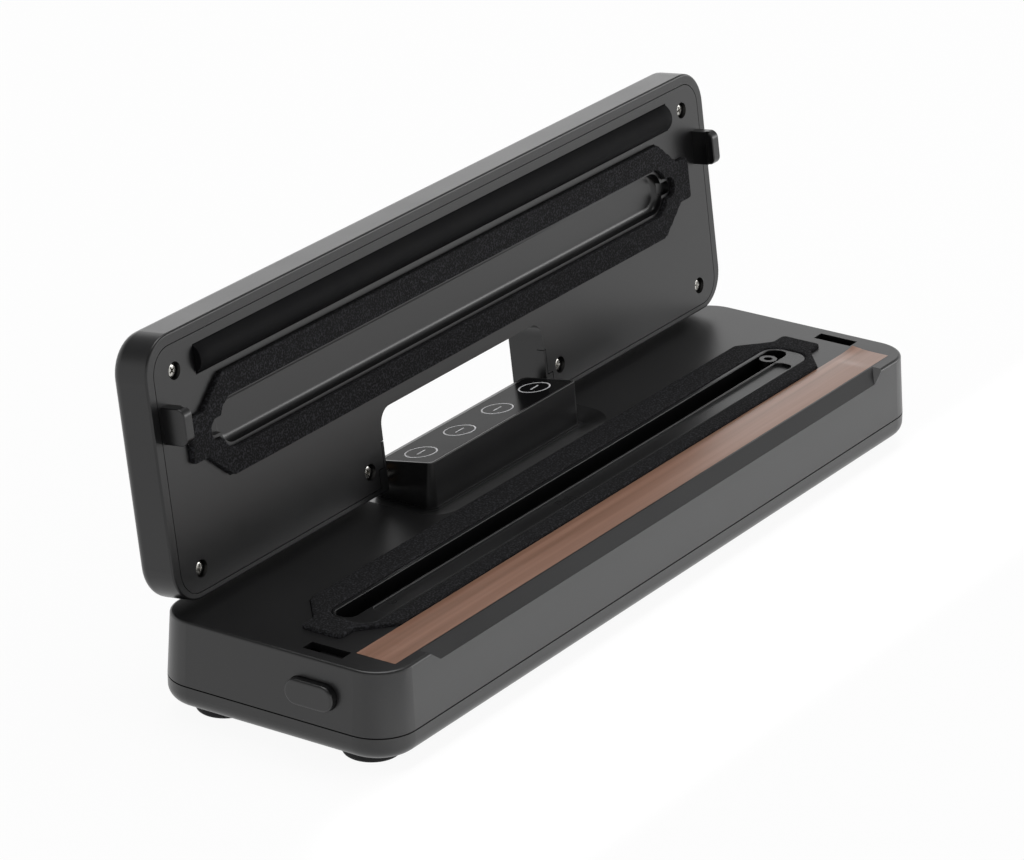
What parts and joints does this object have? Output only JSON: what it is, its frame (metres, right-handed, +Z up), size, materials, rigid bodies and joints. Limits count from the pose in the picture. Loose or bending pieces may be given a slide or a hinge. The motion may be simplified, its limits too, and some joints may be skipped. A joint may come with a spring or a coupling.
{
  "type": "vacuum sealer",
  "caption": "Long low countertop vacuum sealer with a hinged lid, foam gaskets, suction trough, sealing heater under tape, touch panel and end release buttons.",
  "frame": {"origin": "under the middle of the whole, lid open, on the surface the feet stand on", "axes": "+X along the length to the right, -Y the front with the sealing tape, +Z up"},
  "size_m": [0.3674, 0.116, 0.1354],
  "materials": {
    "case_plastic": "black ABS, fine matte moulded texture",
    "lid_plastic": "black ABS, smooth satin",
    "gloss_panel": "black acrylic, polished, with printed rings",
    "foam": "fine closed-cell foam",
    "silicone": "matte silicone",
    "foot_rubber": "moulded rubber",
    "tape": "brown coated glass cloth",
    "steel": "zinc-plated steel",
    "heater_metal": "flat resistance strip",
    "bronze": "sintered bushing metal",
    "pump_plastic": "pale engineering plastic",
    "circuit_board": "glass-epoxy board",
    "component_black": "moulded component body"
  },
  "bodies": {
    "base": {"base_housing": "case_plastic", "bottom_cover": "case_plastic", "feet": "foot_rubber", "bottom_screws": "steel", "vacuum_tray": "lid_plastic", "air_nozzle": "lid_plastic", "air_tube": "silicone", "base_gasket": "foam", "heater_backing": "silicone", "heating_strip": "heater_metal", "seal_tape": "tape", "control_housing": "lid_plastic", "control_panel": "gloss_panel", "control_board": "circuit_board", "hinge_pins": "steel", "pump_head": "pump_plastic", "pump_motor": "steel", "power_board": "circuit_board", "power_transformer": "component_black", "filter_capacitor": "component_black", "cord_gland": "foot_rubber"},
    "lid": {"lid_shell": "lid_plastic", "lid_plate": "lid_plastic", "lid_gasket": "foam", "pressure_bar": "silicone", "hinge_bushings": "bronze", "lid_screws": "steel", "latch_hook_left": "lid_plastic", "latch_hook_right": "lid_plastic"},
    "latch_left": {"release_button_left": "case_plastic", "latch_catch_left": "lid_plastic", "latch_spring_left": "steel"},
    "latch_right": {"release_button_right": "case_plastic", "latch_catch_right": "lid_plastic", "latch_spring_right": "steel"}
  },
  "joints": [
    {"name": "lid_hinge", "type": "hinge", "parent": "base", "child": "lid", "pos_m": [0, 0.03469, 0.0445], "axis": [1, 0, 0], "range_deg": [0, 97.5]},
    {"name": "left_release", "type": "slide", "parent": "base", "child": "latch_left", "axis": [1, 0, 0], "range_m": [0, 0.0025], "stiffness_N_per_m": 600, "springref_m": -0.003, "deforming": ["latch_spring_left"]},
    {"name": "right_release", "type": "slide", "parent": "base", "child": "latch_right", "axis": [-1, 0, 0], "range_m": [0, 0.0025], "stiffness_N_per_m": 600, "springref_m": -0.003, "deforming": ["latch_spring_right"]}
  ]
}
